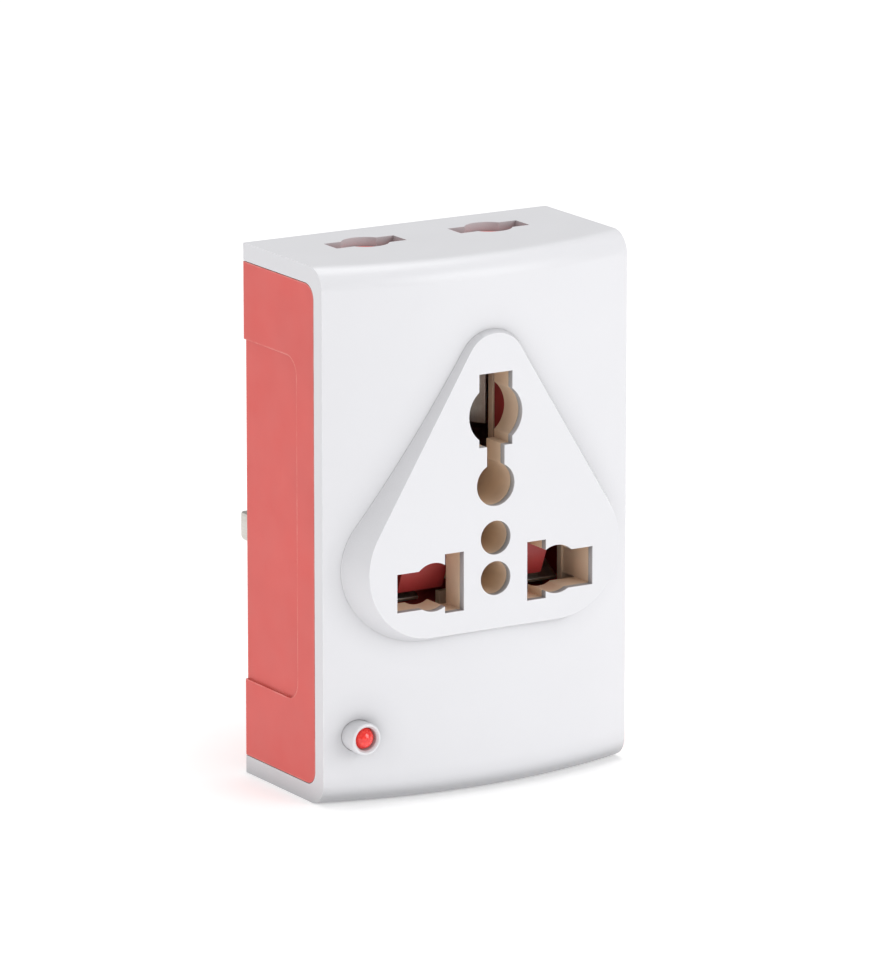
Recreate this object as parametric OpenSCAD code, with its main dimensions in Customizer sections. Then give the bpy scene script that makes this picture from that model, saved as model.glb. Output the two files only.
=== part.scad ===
// Universal travel adapter: bowed white cover, triangular socket face, red rear shell,
// rectangular three-pin plug behind, two-pin socket in the top, sprung safety shutter inside.
// X is across, +Y runs back along the plug pins, +Z is up. The origin is at the middle of the base.

/* [Case] */
// Width of the case
body_w = 47; // [46:0.5:50]
// Height of the case
body_h = 72.5; // [72:0.5:75]
// Depth from the socket face to the back plate
body_d = 25.5; // [25.25:0.25:27]
// How far the cover's front bows out between its sides
bow = 4; // [3.5:0.1:4.2]
// How far the socket face stands proud of the bow at its middle
face_rise = 1; // [0.8:0.1:1.2]
// Thickness of the cover's front
cover_t = 2; // [1.8:0.1:2]
// Thickness of the cover's top and bottom
rim_t = 2.4; // [2.2:0.1:2.6]
// Radius of the rounded front edges, top and bottom
edge_r = 3; // [2:0.25:3]
// Thickness of the rear shell's walls
shell_t = 2; // [1.8:0.1:2.2]
// Thickness of the back plate
back_t = 2.2; // [2:0.1:2.4]

/* [Grip recess] */
// Depth of the finger recess in each side
grip_depth = 0.35; // [0.3:0.05:1]
// Lower end of the recess
grip_low = 13; // [10:0.5:16]
// Upper end of the recess
grip_high = 59.5; // [56:0.5:62]
// Distance of the recess from the side's front edge
grip_front = 6.7; // [6:0.1:8]
// Corner radius of the recess
grip_r = 2.5; // [1:0.5:4]

/* [Socket face] */
// Height of the live and neutral holes above the base
line_z = 29.3; // [28.5:0.1:30]
// Rise from that line to the earth hole
earth_rise = 22.2; // [22.2:0.1:22.3]
// Radius of the triangle's lower corners
low_r = 9.5; // [9:0.25:10]
// Radius of the triangle's top corner
top_r = 4.5; // [4:0.25:5]
// Thickness of the face at its holes
face_t = 1; // [0.8:0.1:1.2]
// Outward slope of the triangle's side walls, as run over depth
wall_slope = 0.45; // [0.3:0.05:0.5]
// Height of the triangle's base below the hole line
base_drop = 6.8; // [6.4:0.1:7]

/* [Plug] */
// Centre distance of each line pin from the middle
pin_x = 11.1; // [11.1:0.01:11.12]
// Length of the line pins beyond the back plate
pin_len = 18.2; // [17.2:0.1:18.2]
// Length of the earth pin beyond the back plate
earth_len = 22.7; // [22.2:0.1:23.2]
// Length of the insulating sleeve on each line pin
sleeve_len = 9.3; // [8:0.1:9.5]

/* [Shutter] */
// Travel of the shutter from closed to open
shutter_travel = 4.2; // [4:0.1:4.3]
// Free gap between the shutter and what it slides on
slide_gap = 0.2; // [0.15:0.01:0.25]
// Mean coil radius of the return spring
coil_r = 1.2; // [1:0.05:1.2]
// Wire thickness of the return spring
coil_wire = 0.4; // [0.3:0.05:0.45]
// Turns in the return spring
coil_turns = 5; // [4:1:6]

/* [Indicator] */
// Sideways position of the indicator lamp
lamp_x = -19; // [-19.6:0.1:-18]
// Height of the indicator lamp
lamp_z = 9.6; // [8.5:0.1:10.5]
// Outer radius of the lamp's collar
lamp_collar_r = 2.15; // [2.1:0.05:2.4]
// Radius of the lamp's lens
lamp_lens_r = 1.5; // [1.3:0.05:1.6]

/* [Top socket] */
// Distance of the top slots behind the socket face
top_depth = 17.5; // [17:0.1:18]
// Half the spacing of the top slots
top_x = 9.53; // [9.5:0.01:9.55]

/* [Hidden] */
$fn = 96;
eps = 0.05;
total_d = body_d + earth_len;
front_y = -total_d / 2;
back_y = front_y + body_d;
side_y = front_y + face_rise + bow;
bow_r = (body_w * body_w / 4 + bow * bow) / (2 * bow);
bow_y = front_y + face_rise + bow_r;
earth_z = line_z + earth_rise;
shell_gap = 0.1;
carrier_front = face_t + 0.1;
carrier_back = 4.6;
shutter_front = carrier_back + slide_gap;
shutter_back = shutter_front + 2.5;
retainer_front = shutter_back + slide_gap;
retainer_back = retainer_front + 1.2;
clip_front = retainer_back + 0.4;
plate_front = 18.5;
plate_back = plate_front + 0.6;
back_inner = body_d - back_t;
leg_in = 4.2;
leg_out = 11.2;
leg_drop = shutter_travel / 2;
bar_low = earth_z + 5.9;
bar_high = bar_low + 2;
spring_top = bar_high + 7.6;
spring_t = (shutter_front + shutter_back) / 2;
base_z = line_z - base_drop;
low_x = 26.7 - 1.775 * low_r;
low_c = [low_x, base_z + low_r];
top_c = [0, line_z + 37.3 - top_r / sin(31.2)];
post_spots = [[-11, 12], [11, 12], [-17.3, 62], [17.3, 62]];
post_r = 2.9;
retainer_spots = [[-13.3, line_z + 8.5], [13.3, line_z + 8.5]];
strip_rivet_z = 47.5;
collar_front = 1.25;
dome_t = collar_front + lamp_lens_r - 0.15;
white = [0.93, 0.93, 0.94];
coral = [0.82, 0.36, 0.34];
tan_c = [0.72, 0.6, 0.48];
dark_red = [0.42, 0.12, 0.13];
nickel = [0.72, 0.72, 0.7];
brass_c = [0.78, 0.6, 0.3];
steel = [0.6, 0.6, 0.62];

// Places a flat shape drawn in X and Z at depth t0 behind the socket face and gives it depth to t1.
module slab(t0, t1) {
  translate([0, front_y + t1, 0])
    rotate([90, 0, 0])
      linear_extrude(height = t1 - t0)
        children();
}

// A round bar along Y from depth t0 to t1 at x, z.
module rod(x, z, r, t0, t1) {
  translate([x, front_y + t1, z])
    rotate([90, 0, 0])
      cylinder(r = r, h = t1 - t0);
}

// The rounded triangle, grown outward by g: three circles and the straight lines that touch them.
module triangle(g) {
  r1 = top_r + g - 0.02;
  r2 = low_r + g - 0.02;
  d = [top_c[0] + low_c[0], top_c[1] - low_c[1]];
  turn = atan2(d[1], d[0]) + acos((low_r - top_r) / norm(d));
  n = [cos(turn), sin(turn)];
  polygon([
    [top_c[0] + r1 * n[0], top_c[1] + r1 * n[1]],
    [-low_c[0] + r2 * n[0], low_c[1] + r2 * n[1]],
    [-low_c[0], low_c[1] - r2],
    [low_c[0], low_c[1] - r2],
    [low_c[0] - r2 * n[0], low_c[1] + r2 * n[1]],
    [top_c[0] - r1 * n[0], top_c[1] + r1 * n[1]],
    [top_c[0], top_c[1]]
  ]);
  translate(top_c) circle(r = top_r + g);
  translate([-low_c[0], low_c[1]]) circle(r = low_r + g);
  translate(low_c) circle(r = low_r + g);
}

// The triangle's sloping wall: it spreads from the face back to the cover and stops on its surface.
module skirt() {
  spread = wall_slope * 6;
  difference() {
    hull() {
      cone(top_c, top_r, spread);
      cone(low_c, low_r, spread);
      cone([-low_c[0], low_c[1]], low_r, spread);
    }
    bowed(-0.03, -1, body_h + 1, 1);
  }
}

// A corner of that wall, of radius r at the face and r + spread at 6 mm behind it.
module cone(c, r, spread) {
  translate([c[0], front_y + 6, c[1]])
    rotate([90, 0, 0])
      cylinder(r1 = r + spread, r2 = r, h = 6, $fn = 64);
}

// All holes of the front socket, grown outward by g.
module holes(g) {
  for (side = [-1, 1]) {
    translate([side * 6.35, line_z + 0.25]) square([2.9 + 2 * g, 8 + 2 * g], center = true);
    translate([side * 9.53, line_z]) circle(r = 3.3 + g);
    translate([side * 11.3, line_z - 0.2]) square([7.6 + 2 * g, 5.2 + 2 * g], center = true);
  }
  translate([0, earth_z]) circle(r = 4.1 + g);
  translate([0, earth_z + 0.65]) square([5.1 + 2 * g, 9.9 + 2 * g], center = true);
  translate([0, earth_z - 5.2]) square([2.7 + 2 * g, 6], center = true);
  translate([0, line_z + 12.7]) circle(r = 2.9 + g);
  translate([0, line_z + 5.5]) circle(r = 2.3 + g);
  translate([0, line_z]) circle(r = 2.3 + g);
}

// The case's outer form drawn in by s at the front, from height z0 to z1, with rounded ends.
module bowed(s, z0, z1, r) {
  translate([0, bow_y, 0])
    rotate_extrude()
      union() {
        translate([0, z0]) square([bow_r - s - r, z1 - z0]);
        translate([0, z0 + r]) square([bow_r - s, z1 - z0 - 2 * r]);
        translate([bow_r - s - r, z0 + r]) circle(r = r);
        translate([bow_r - s - r, z1 - r]) circle(r = r);
      }
}

// A box as wide as w between depths t0 and t1 and heights z0 and z1.
module block(w, t0, t1, z0, z1) {
  translate([-w / 2, front_y + t0, z0]) cube([w, t1 - t0, z1 - z0]);
}

// One top slot: a flat slot with a round hole at its middle, seen from above, grown by g.
module top_slot(g) {
  square([9.4 + 2 * g, 2.2 + 2 * g], center = true);
  circle(r = 2.55 + g);
}

module top_slots(z0, z1, g) {
  for (side = [-1, 1])
    translate([side * top_x, front_y + top_depth, z0])
      linear_extrude(height = z1 - z0)
        top_slot(g);
}

module front_cover() {
  color(white) difference() {
    union() {
      difference() {
        intersection() {
          bowed(0, 0, body_h, edge_r);
          block(body_w, 0, body_d, 0, body_h);
        }
        bowed(cover_t, rim_t, body_h - rim_t, 2);
      }
      intersection() {
        bowed(cover_t - eps, 1, body_h - 1, 1);
        union() {
          for (p = post_spots) rod(p[0], p[1], post_r, 1, back_inner - 0.1);
        }
      }
    }
    slab(-1, 9) triangle(0.1);
    for (p = post_spots) rod(p[0], p[1], 1.2, 9, back_inner + 1);
    rod(lamp_x, lamp_z, lamp_collar_r + 0.05, -1, 9);
    top_slots(body_h - rim_t - 1, body_h + 1, 0.65);
  }
}

module socket_face() {
  color(white) difference() {
    union() {
      skirt();
      slab(0.5, 9) triangle(0);
      intersection() {
        slab(0, 9) triangle(1.5);
        bowed(cover_t + 0.05, 8, body_h - 8, 1);
      }
    }
    bowed(cover_t + 0.5, 1, body_h - 1, 1);
    slab(face_t, 10) triangle(-1.6);
    slab(-1, 3) holes(0);
  }
}

module contact_carrier() {
  color(tan_c) difference() {
    union() {
      slab(carrier_front, carrier_back) triangle(-1.8);
      intersection() {
        slab(carrier_back - eps, retainer_front) triangle(-1.8);
        difference() {
          block(35, carrier_back - eps, retainer_front, line_z - 6, line_z + 7);
          block(30.4, carrier_back - 1, retainer_front + 1, line_z - 7, line_z + 8);
        }
      }
      for (p = retainer_spots) rod(p[0], p[1], 1.15, carrier_back - eps, retainer_front);
      // Collars that lead round pins back to the earth strip's sockets.
      rod(0, line_z, 2.85, carrier_back - eps, clip_front - 0.2);
      rod(0, line_z + 5.5, 2.85, carrier_back - eps, clip_front - 0.2);
      rod(0, line_z + 12.7, 3.5, carrier_back - eps, clip_front - 0.2);
    }
    slab(0, 9) holes(0);
    for (p = retainer_spots) rod(p[0], p[1], 0.6, 2.6, 9);
  }
}

module shutter_retainer() {
  color(tan_c) difference() {
    union() {
      slab(retainer_front, retainer_back)
        union() {
          translate([-17, line_z - 6]) square([34, 18]);
          translate([-13.8, line_z]) square([27.6, spring_top + 0.8 - line_z]);
        }
      for (side = [-1, 1])
        slab(shutter_front, retainer_front + eps)
          translate([side * 12.05 - 0.7, line_z + 10.5]) square([1.4, bar_low - line_z - 10.6]);
      slab(shutter_front, retainer_front + eps)
        translate([-2.6, spring_top]) square([5.2, 0.8]);
    }
    slab(retainer_front - 1, retainer_back + 1) {
      for (side = [-1, 1])
        translate([side * 9.5, line_z]) square([10.8, 9.4], center = true);
      translate([-4.1, line_z - 2.9]) square([8.2, earth_rise + 9.3]);
      translate([-1.9, bar_low - 2]) square([3.8, spring_top - bar_low + 2]);
      for (side = [-1, 1])
        translate([side * 11.9 - 5.5, line_z + 13]) square([11, 12]);
    }
    for (p = retainer_spots) rod(p[0], p[1], 0.9, retainer_front - 1, retainer_back + 1);
  }
}

module shutter() {
  color(dark_red) difference() {
    union() {
      for (side = [-1, 1])
        slab(shutter_front, shutter_back)
          translate([side * (leg_in + leg_out) / 2 - (leg_out - leg_in) / 2, line_z - leg_drop])
            square([leg_out - leg_in, bar_high - line_z + leg_drop]);
      slab(shutter_front, shutter_back)
        translate([-13.2, bar_low]) square([26.4, bar_high - bar_low]);
      rod_seat();
    }
    // The lower end of each leg is cut to a ramp that a plug pin pushes up.
    for (side = [-1, 1])
      translate([side * (leg_in + leg_out) / 2 - 5, front_y, line_z])
        rotate([90, 0, 90])
          linear_extrude(height = 10)
            polygon([
              [shutter_front - 1, -leg_drop - 1], [shutter_back + 1, -leg_drop - 1],
              [shutter_back + 1, -leg_drop], [shutter_back - 0.6, -leg_drop],
              [shutter_front, 2.2], [shutter_front - 1, 2.2]
            ]);
  }
}

// The stub that keeps the spring centred on the shutter's bar.
module rod_seat() {
  translate([0, front_y + spring_t, bar_high - eps]) cylinder(r = coil_r - coil_wire / 2 - 0.15, h = 1.2);
}

module shutter_spring() {
  coil_h = spring_top - bar_high;
  sweep = 360 * coil_wire / (coil_h - coil_wire) * coil_turns / 2;
  color(steel)
    translate([0, front_y + spring_t, bar_high])
      linear_extrude(height = coil_h, twist = -360 * coil_turns, slices = 16 * coil_turns, $fn = 10)
        intersection() {
          difference() {
            circle(r = coil_r + coil_wire / 2, $fn = 12);
            circle(r = coil_r - coil_wire / 2, $fn = 12);
          }
          polygon([
            [0, 0], [4 * cos(sweep), -4 * sin(sweep)], [4, 0], [4 * cos(sweep), 4 * sin(sweep)]
          ]);
        }
}

module rear_shell() {
  color(coral) difference() {
    union() {
      intersection() {
        bowed(cover_t + shell_gap, rim_t + shell_gap, body_h - rim_t - shell_gap, 1.9);
        block(body_w, 0, body_d, 0, body_h);
      }
      // Collars that line the slots in the cover's top.
      top_slots(body_h - rim_t - 1, body_h - 1.2, 0.6);
    }
    block(body_w - 2 * shell_t, -1, back_inner, rim_t + shell_gap + shell_t,
      body_h - rim_t - shell_gap - shell_t);
    // The front lip between the side walls is cleared so the lid's parts sit inside.
    block(body_w - 2 * shell_t, -1, 9, 0, body_h);
    for (side = [-1, 1])
      translate([side * (body_w / 2 - grip_depth) - (side < 0 ? 5 : 0), 0, 0])
        grip_cut();
    // A pocket in the side wall for the lamp's collar.
    rod(lamp_x, lamp_z, lamp_collar_r + 0.55, 0, 10.5);
    for (side = [-1, 1])
      pin_hole(side * pin_x, line_z, 6.45, 4.1);
    pin_hole(0, earth_z, 4.1, 8.1);
    for (p = post_spots) {
      rod(p[0], p[1], 1.6, back_inner - 1, body_d + 1);
      rod(p[0], p[1], 3, body_d - 1.3, body_d + 1);
    }
    top_slots(body_h - rim_t - shell_t - 2, body_h + 1, 0);
  }
}

module pin_hole(x, z, w, h) {
  translate([x - w / 2, back_y - back_t - 1, z - h / 2]) cube([w, back_t + 2, h]);
}

// A recess open at the back, with rounded corners at its front.
module grip_cut() {
  translate([0, side_y + grip_front, grip_low])
    rotate([90, 0, 90])
      linear_extrude(height = 5) {
        translate([grip_r, grip_r]) circle(r = grip_r);
        translate([grip_r, grip_high - grip_low - grip_r]) circle(r = grip_r);
        translate([0, grip_r]) square([grip_r, grip_high - grip_low - 2 * grip_r]);
        translate([grip_r, 0]) square([body_d, grip_high - grip_low]);
      }
}

// A flat pin along +Y: blade w by h with a chamfered tip, a neck under its sleeve, and a riveted root.
module plug_pin(x, z, w, h, len, neck, neck_len) {
  tip = back_y + len;
  difference() {
    intersection() {
      translate([x, 0, z - h / 2]) linear_extrude(height = h) tip_outline(w, tip);
      translate([x - w / 2, 0, z]) rotate([90, 0, 90]) linear_extrude(height = w)
        rotate([0, 0, -90]) tip_outline(h, tip);
    }
    if (neck_len > 0)
      difference() {
        translate([x - w, back_y + eps, z - h]) cube([2 * w, neck_len - eps, 2 * h]);
        translate([x - w / 2 + neck, back_y, z - h / 2 + neck]) cube([w - 2 * neck, neck_len, h - 2 * neck]);
      }
  }
  translate([x - w / 2 - 1, back_y - back_t - 1.5, z - h / 2 - 1]) cube([w + 2, 1.4, h + 2]);
  translate([x, front_y + plate_front, z]) rotate([-90, 0, 0]) cylinder(r = 1.3, h = 4);
  translate([x - 1.7, front_y + plate_back + 0.05, z - 1.7]) cube([3.4, 3.6, 3.4]);
  translate([x, front_y + plate_front - 0.75, z]) rotate([-90, 0, 0]) cylinder(r = 2.1, h = 0.7);
  translate([x, front_y + plate_front - 0.2, z]) rotate([-90, 0, 0]) cylinder(r = 1.25, h = 0.5);
}

module tip_outline(w, tip) {
  polygon([
    [-w / 2, back_y - back_t - 1], [w / 2, back_y - back_t - 1], [w / 2, tip - 1.6],
    [w / 2 - 0.9, tip], [-w / 2 + 0.9, tip], [-w / 2, tip - 1.6]
  ]);
}

module live_pin() {
  color(nickel) plug_pin(pin_x, line_z, 6.35, 4, pin_len, 0.5, sleeve_len);
}

module neutral_pin() {
  color(nickel) plug_pin(-pin_x, line_z, 6.35, 4, pin_len, 0.5, sleeve_len);
}

module earth_pin() {
  color(nickel) plug_pin(0, earth_z, 4, 8, earth_len, 0, 0);
}

// A tube of insulation that fills the pin's neck, flush with the blade.
module pin_sleeve(x) {
  difference() {
    translate([x - 3.175, back_y + 0.05, line_z - 2]) cube([6.35, sleeve_len - 0.1, 4]);
    translate([x - 2.675, back_y - 1, line_z - 1.5]) cube([5.35, sleeve_len + 2, 3]);
  }
}

module live_sleeve() {
  color([0.12, 0.12, 0.13]) pin_sleeve(pin_x);
}

module neutral_sleeve() {
  color([0.12, 0.12, 0.13]) pin_sleeve(-pin_x);
}

// Side view of one spring leaf: a flared mouth, a pinch, and a straight run back to the plate.
module leaf(w) {
  polygon([
    [clip_front, 3.6], [clip_front + 0.2, 4.1], [clip_front + 2.9, 2.3], [plate_front - 2.2, 3.1],
    [plate_front, 3.1], [plate_front, 2.6], [plate_front - 2.3, 2.6], [clip_front + 2.8, 1.8]
  ]);
}

// A line contact: two leaves above and below the pin's path, joined by a plate that runs up the case.
module line_contact(side) {
  x0 = side > 0 ? 6.4 : -15.2;
  difference() {
    union() {
      for (up = [-1, 1])
        translate([x0, front_y, line_z])
          scale([1, 1, up])
            rotate([90, 0, 90])
              linear_extrude(height = 8.8)
                leaf(8.8);
      translate([x0, front_y + plate_front - eps, line_z - 3.1]) cube([8.8, 0.6 + eps, 6.2]);
      translate([side * 9.53 - 2.5, front_y + plate_front, line_z]) cube([5, 0.6, 50.5 - line_z]);
    }
    rod(side * pin_x, line_z, 1.35, plate_front - 1, plate_back + 1);
    rod(side * 9.53, strip_rivet_z, 0.8, plate_front - 1, plate_back + 1);
  }
}

module live_contact() {
  color(nickel) line_contact(1);
}

module neutral_contact() {
  color(nickel) line_contact(-1);
}

// The earth strip: a flat bar up the middle, sockets for round earth pins, and two side leaves at the top.
module earth_contact() {
  color(nickel) difference() {
    union() {
      translate([-3, front_y + plate_front, line_z - 3]) cube([6, 0.6, earth_rise + 8]);
      rod(0, line_z, 2.6, clip_front, plate_front + eps);
      rod(0, line_z + 5.5, 2.6, clip_front, plate_front + eps);
      rod(0, line_z + 12.7, 3.1, clip_front, plate_front + eps);
      for (side = [-1, 1])
        translate([0, front_y, earth_z - 3.5])
          scale([side, 1, 1])
            linear_extrude(height = 7)
              polygon([
                [3.9, clip_front], [4.4, clip_front + 0.2], [2.5, clip_front + 3], [3, plate_front - 2],
                [3, plate_front + eps], [2.5, plate_front + eps], [2.5, plate_front - 2], [2, clip_front + 3]
              ]);
    }
    rod(0, line_z, 2.15, clip_front - 1, plate_front - 0.6);
    rod(0, line_z + 5.5, 2.15, clip_front - 1, plate_front - 0.6);
    rod(0, line_z + 12.7, 2.6, clip_front - 1, plate_front - 0.6);
    rod(0, earth_z, 1.35, plate_front - 1, plate_back + 1);
  }
}

// A clip under one top slot: two leaves that pinch the pin, a floor, and a tab riveted to the line contact.
module top_clip(side) {
  c = top_depth;
  difference() {
    translate([side * 9.53 - 3.6, front_y, 0])
      rotate([90, 0, 90])
        linear_extrude(height = 7.2)
          polygon([
            [c - 2.4, 66.8], [c - 2.9, 66.6], [c - 1, 63.6], [c - 1.5, 52], [plate_front - 0.6, 52],
            [plate_front - 0.6, 45], [plate_front, 45], [plate_front, 52.1], [c + 1.5, 52.5],
            [c + 1, 63.6], [c + 2.9, 66.6], [c + 2.4, 66.8], [c + 0.4, 63.7], [c + 0.9, 52.6],
            [c - 0.9, 52.6], [c - 0.4, 63.7]
          ]);
    rod(side * 9.53, strip_rivet_z, 0.8, plate_front - 2, plate_back + 1);
  }
}

module top_live_clip() {
  color(nickel) top_clip(1);
}

module top_neutral_clip() {
  color(nickel) top_clip(-1);
}

module strip_rivets() {
  color(brass_c)
    for (side = [-1, 1]) {
      rod(side * 9.53, strip_rivet_z, 0.78, plate_front - 1, plate_back + 0.4);
      rod(side * 9.53, strip_rivet_z, 1.5, plate_front - 1.2, plate_front - 0.6);
      rod(side * 9.53, strip_rivet_z, 1.5, plate_back, plate_back + 0.6);
    }
}

module case_screws() {
  color(steel)
    for (p = post_spots)
      difference() {
        union() {
          rod(p[0], p[1], 2.6, body_d - 1.3, body_d - 0.2);
          rod(p[0], p[1], 1.17, body_d - 12, body_d - 1.2);
        }
        translate([p[0], front_y + body_d, p[1]]) cube([2.8, 1.6, 0.6], center = true);
        translate([p[0], front_y + body_d, p[1]]) cube([0.6, 1.6, 2.8], center = true);
      }
}

module retainer_screws() {
  color(steel)
    for (p = retainer_spots)
      difference() {
        union() {
          rod(p[0], p[1], 1.4, retainer_back, retainer_back + 0.8);
          rod(p[0], p[1], 0.58, 3, retainer_back + 0.1);
        }
        translate([p[0], front_y + retainer_back + 0.8, p[1]]) cube([1.7, 0.8, 0.4], center = true);
      }
}

module lamp_collar() {
  color(white) difference() {
    union() {
      rod(lamp_x, lamp_z, lamp_collar_r, collar_front, 9);
      rod(lamp_x, lamp_z, lamp_collar_r + 0.4, 6.9, 7.9);
    }
    rod(lamp_x, lamp_z, lamp_lens_r + 0.05, 0, 10);
    rod(lamp_x, lamp_z, lamp_lens_r + 0.3, 0, collar_front + 0.3);
  }
}

module lamp_lens() {
  color([0.85, 0.12, 0.15]) {
    rod(lamp_x, lamp_z, lamp_lens_r, dome_t, 9.4);
    translate([lamp_x, front_y + dome_t, lamp_z]) sphere(r = lamp_lens_r);
    rod(lamp_x, lamp_z, lamp_lens_r + 0.5, 9.1, 10);
  }
}

// The glow lamp's two leads and their insulating foot.
module lamp_body() {
  color([0.85, 0.85, 0.8]) {
    rod(lamp_x, lamp_z, 1.5, 10.05, 11.4);
    rod(lamp_x - 0.7, lamp_z, 0.25, 11.35, 13.6);
    rod(lamp_x + 0.7, lamp_z, 0.25, 11.35, 13.6);
  }
}

// A round wire that runs through a list of points, with a ball at each bend.
module wire(points, r) {
  for (i = [0 : len(points) - 2]) {
    a = points[i];
    b = points[i + 1];
    d = b - a;
    translate(a) rotate([0, acos(d[2] / norm(d)), atan2(d[1], d[0])]) cylinder(r = r, h = norm(d));
  }
  if (len(points) > 2)
    for (i = [1 : len(points) - 2])
      translate(points[i]) sphere(r = r + 0.06);
}

module resistor() {
  color([0.75, 0.65, 0.45]) {
    rod(lamp_x - 0.7, lamp_z, 0.95, 14.2, 18.4);
    rod(lamp_x - 0.7, lamp_z, 1.1, 14.4, 15.4);
    rod(lamp_x - 0.7, lamp_z, 1.1, 17.2, 18.2);
    rod(lamp_x - 0.7, lamp_z, 0.25, 13.7, 14.3);
    rod(lamp_x - 0.7, lamp_z, 0.25, 18.3, 19.4);
  }
}

module neutral_wire() {
  color([0.2, 0.25, 0.4])
    wire([
      [lamp_x - 0.7, front_y + 19.5, lamp_z], [lamp_x - 0.7, front_y + 21, lamp_z],
      [-15, front_y + 21, 20], [-13.6, front_y + 19.75, line_z - 2.2]
    ], 0.6);
}

module live_wire() {
  color([0.45, 0.28, 0.18])
    wire([
      [lamp_x + 0.7, front_y + 13.7, lamp_z], [lamp_x + 2.3, front_y + 15.6, lamp_z + 0.6],
      [-13, front_y + 19.3, 20], [11, front_y + 19.78, line_z - 2.4]
    ], 0.6);
}

front_cover();
socket_face();
contact_carrier();
shutter_retainer();
shutter();
shutter_spring();
rear_shell();
live_pin();
neutral_pin();
earth_pin();
live_sleeve();
neutral_sleeve();
live_contact();
neutral_contact();
earth_contact();
top_live_clip();
top_neutral_clip();
strip_rivets();
case_screws();
retainer_screws();
lamp_collar();
lamp_lens();
lamp_body();
resistor();
live_wire();
neutral_wire();
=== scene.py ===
import bpy, bmesh
import numpy as np
from math import radians, pi, sin, cos
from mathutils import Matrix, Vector


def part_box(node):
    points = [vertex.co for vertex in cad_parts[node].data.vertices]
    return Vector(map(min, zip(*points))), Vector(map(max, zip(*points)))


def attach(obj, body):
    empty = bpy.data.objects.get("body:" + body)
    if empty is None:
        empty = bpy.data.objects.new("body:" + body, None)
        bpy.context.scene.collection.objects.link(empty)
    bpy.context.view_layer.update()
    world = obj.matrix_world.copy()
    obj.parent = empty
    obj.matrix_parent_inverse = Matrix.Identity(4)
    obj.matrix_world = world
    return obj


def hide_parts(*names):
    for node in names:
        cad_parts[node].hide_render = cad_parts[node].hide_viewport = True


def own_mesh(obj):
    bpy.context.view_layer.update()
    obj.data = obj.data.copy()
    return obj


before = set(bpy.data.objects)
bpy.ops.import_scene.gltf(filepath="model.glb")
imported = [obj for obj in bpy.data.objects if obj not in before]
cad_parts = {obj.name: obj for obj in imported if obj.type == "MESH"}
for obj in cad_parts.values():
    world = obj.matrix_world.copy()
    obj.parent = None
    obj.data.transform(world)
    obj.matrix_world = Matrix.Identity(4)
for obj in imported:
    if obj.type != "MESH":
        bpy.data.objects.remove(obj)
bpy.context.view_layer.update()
mm = 0.001
mergeReach = {"made": 2e-7, "tiny": 1e-8, "node": 1e-6}     # metres within which points or edges count as one
flatAngle = 0.4                                             # degrees within which faces count as one plane
print("frame loaded:", len(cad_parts), "nodes")

# shared planes and places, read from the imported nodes
faceLow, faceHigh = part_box("socket_face")
shellLow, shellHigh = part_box("rear_shell")
lampLow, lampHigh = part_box("lamp_collar")
frontY = faceLow.y                     # plane of the socket face
backY = shellHigh.y                    # plane of the back plate
lampX = (lampLow.x + lampHigh.x) / 2
lampZ = (lampLow.z + lampHigh.z) / 2


# a depth in millimetres behind the socket face, as a place in metres
def depth(t):
    return frontY + np.asarray(t) * mm


# a node's middle in X and Z in metres, and its front and back as depths in millimetres
def nodeSpan(node):
    low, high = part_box(node)
    return (low.x + high.x) / 2, (low.z + high.z) / 2, (low.y - frontY) / mm, (high.y - frontY) / mm


# a new object that holds the data, linked to the scene
def addObject(name, data):
    thing = bpy.data.objects.new(name, data)
    bpy.context.scene.collection.objects.link(thing)
    return thing


# mesh helpers

# quads of a grid of points, joined round its columns and, for a closed ring of rows, round its rows
def gridQuads(rows, columns, closedRows=False):
    r = np.arange(rows if closedRows else rows - 1)[:, None]
    c = np.arange(columns)[None, :]
    r2, c2 = (r + 1) % rows, (c + 1) % columns
    quads = np.stack([r * columns + c, r * columns + c2, r2 * columns + c2, r2 * columns + c], axis=-1)
    return quads.reshape(-1, 4)


# several (points, quads) pairs put together as one mesh
def joinParts(parts):
    counts = np.cumsum([0] + [len(points) for points, quads in parts])
    points = np.concatenate([points for points, quads in parts])
    quads = np.concatenate([quads + start for (part, quads), start in zip(parts, counts)])
    return points, quads


# makes the piece: equal points merge, which closes seams and poles, and faces turn outwards
def makePiece(name, points, quads, sharp=35):
    mesh = bpy.data.meshes.new(name)
    mesh.from_pydata(points.tolist(), [], quads.tolist())
    work = bmesh.new()
    work.from_mesh(mesh)
    bmesh.ops.remove_doubles(work, verts=work.verts, dist=mergeReach["made"])
    bmesh.ops.dissolve_degenerate(work, edges=work.edges, dist=mergeReach["tiny"])
    bmesh.ops.recalc_face_normals(work, faces=work.faces)
    work.to_mesh(mesh)
    work.free()
    mesh.shade_smooth()
    mesh.set_sharp_from_angle(angle=radians(sharp))
    return addObject(name, mesh)


# copies a node's mesh, joins its loose triangles, flattens coplanar ones, and rounds its edges
def roundedCopy(node, name, radius, segments=3, angle=32):
    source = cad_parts[node]
    mesh = bpy.data.meshes.new(name)
    work = bmesh.new()
    work.from_mesh(source.data)
    bmesh.ops.remove_doubles(work, verts=work.verts, dist=mergeReach["node"])
    bmesh.ops.dissolve_limit(work, angle_limit=radians(flatAngle), verts=work.verts, edges=work.edges)
    work.to_mesh(mesh)
    work.free()
    mesh.shade_smooth()
    piece = addObject(name, mesh)
    bevel = piece.modifiers.new("edges", "BEVEL")
    bevel.limit_method = "ANGLE"
    bevel.angle_limit = radians(angle)
    bevel.width = radius * mm
    bevel.segments = segments
    bevel.use_clamp_overlap = True
    bevel.harden_normals = True
    bevel.miter_outer = "MITER_ARC"
    weighted = piece.modifiers.new("normals", "WEIGHTED_NORMAL")
    weighted.weight = 80
    weighted.keep_sharp = True
    return piece


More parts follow.
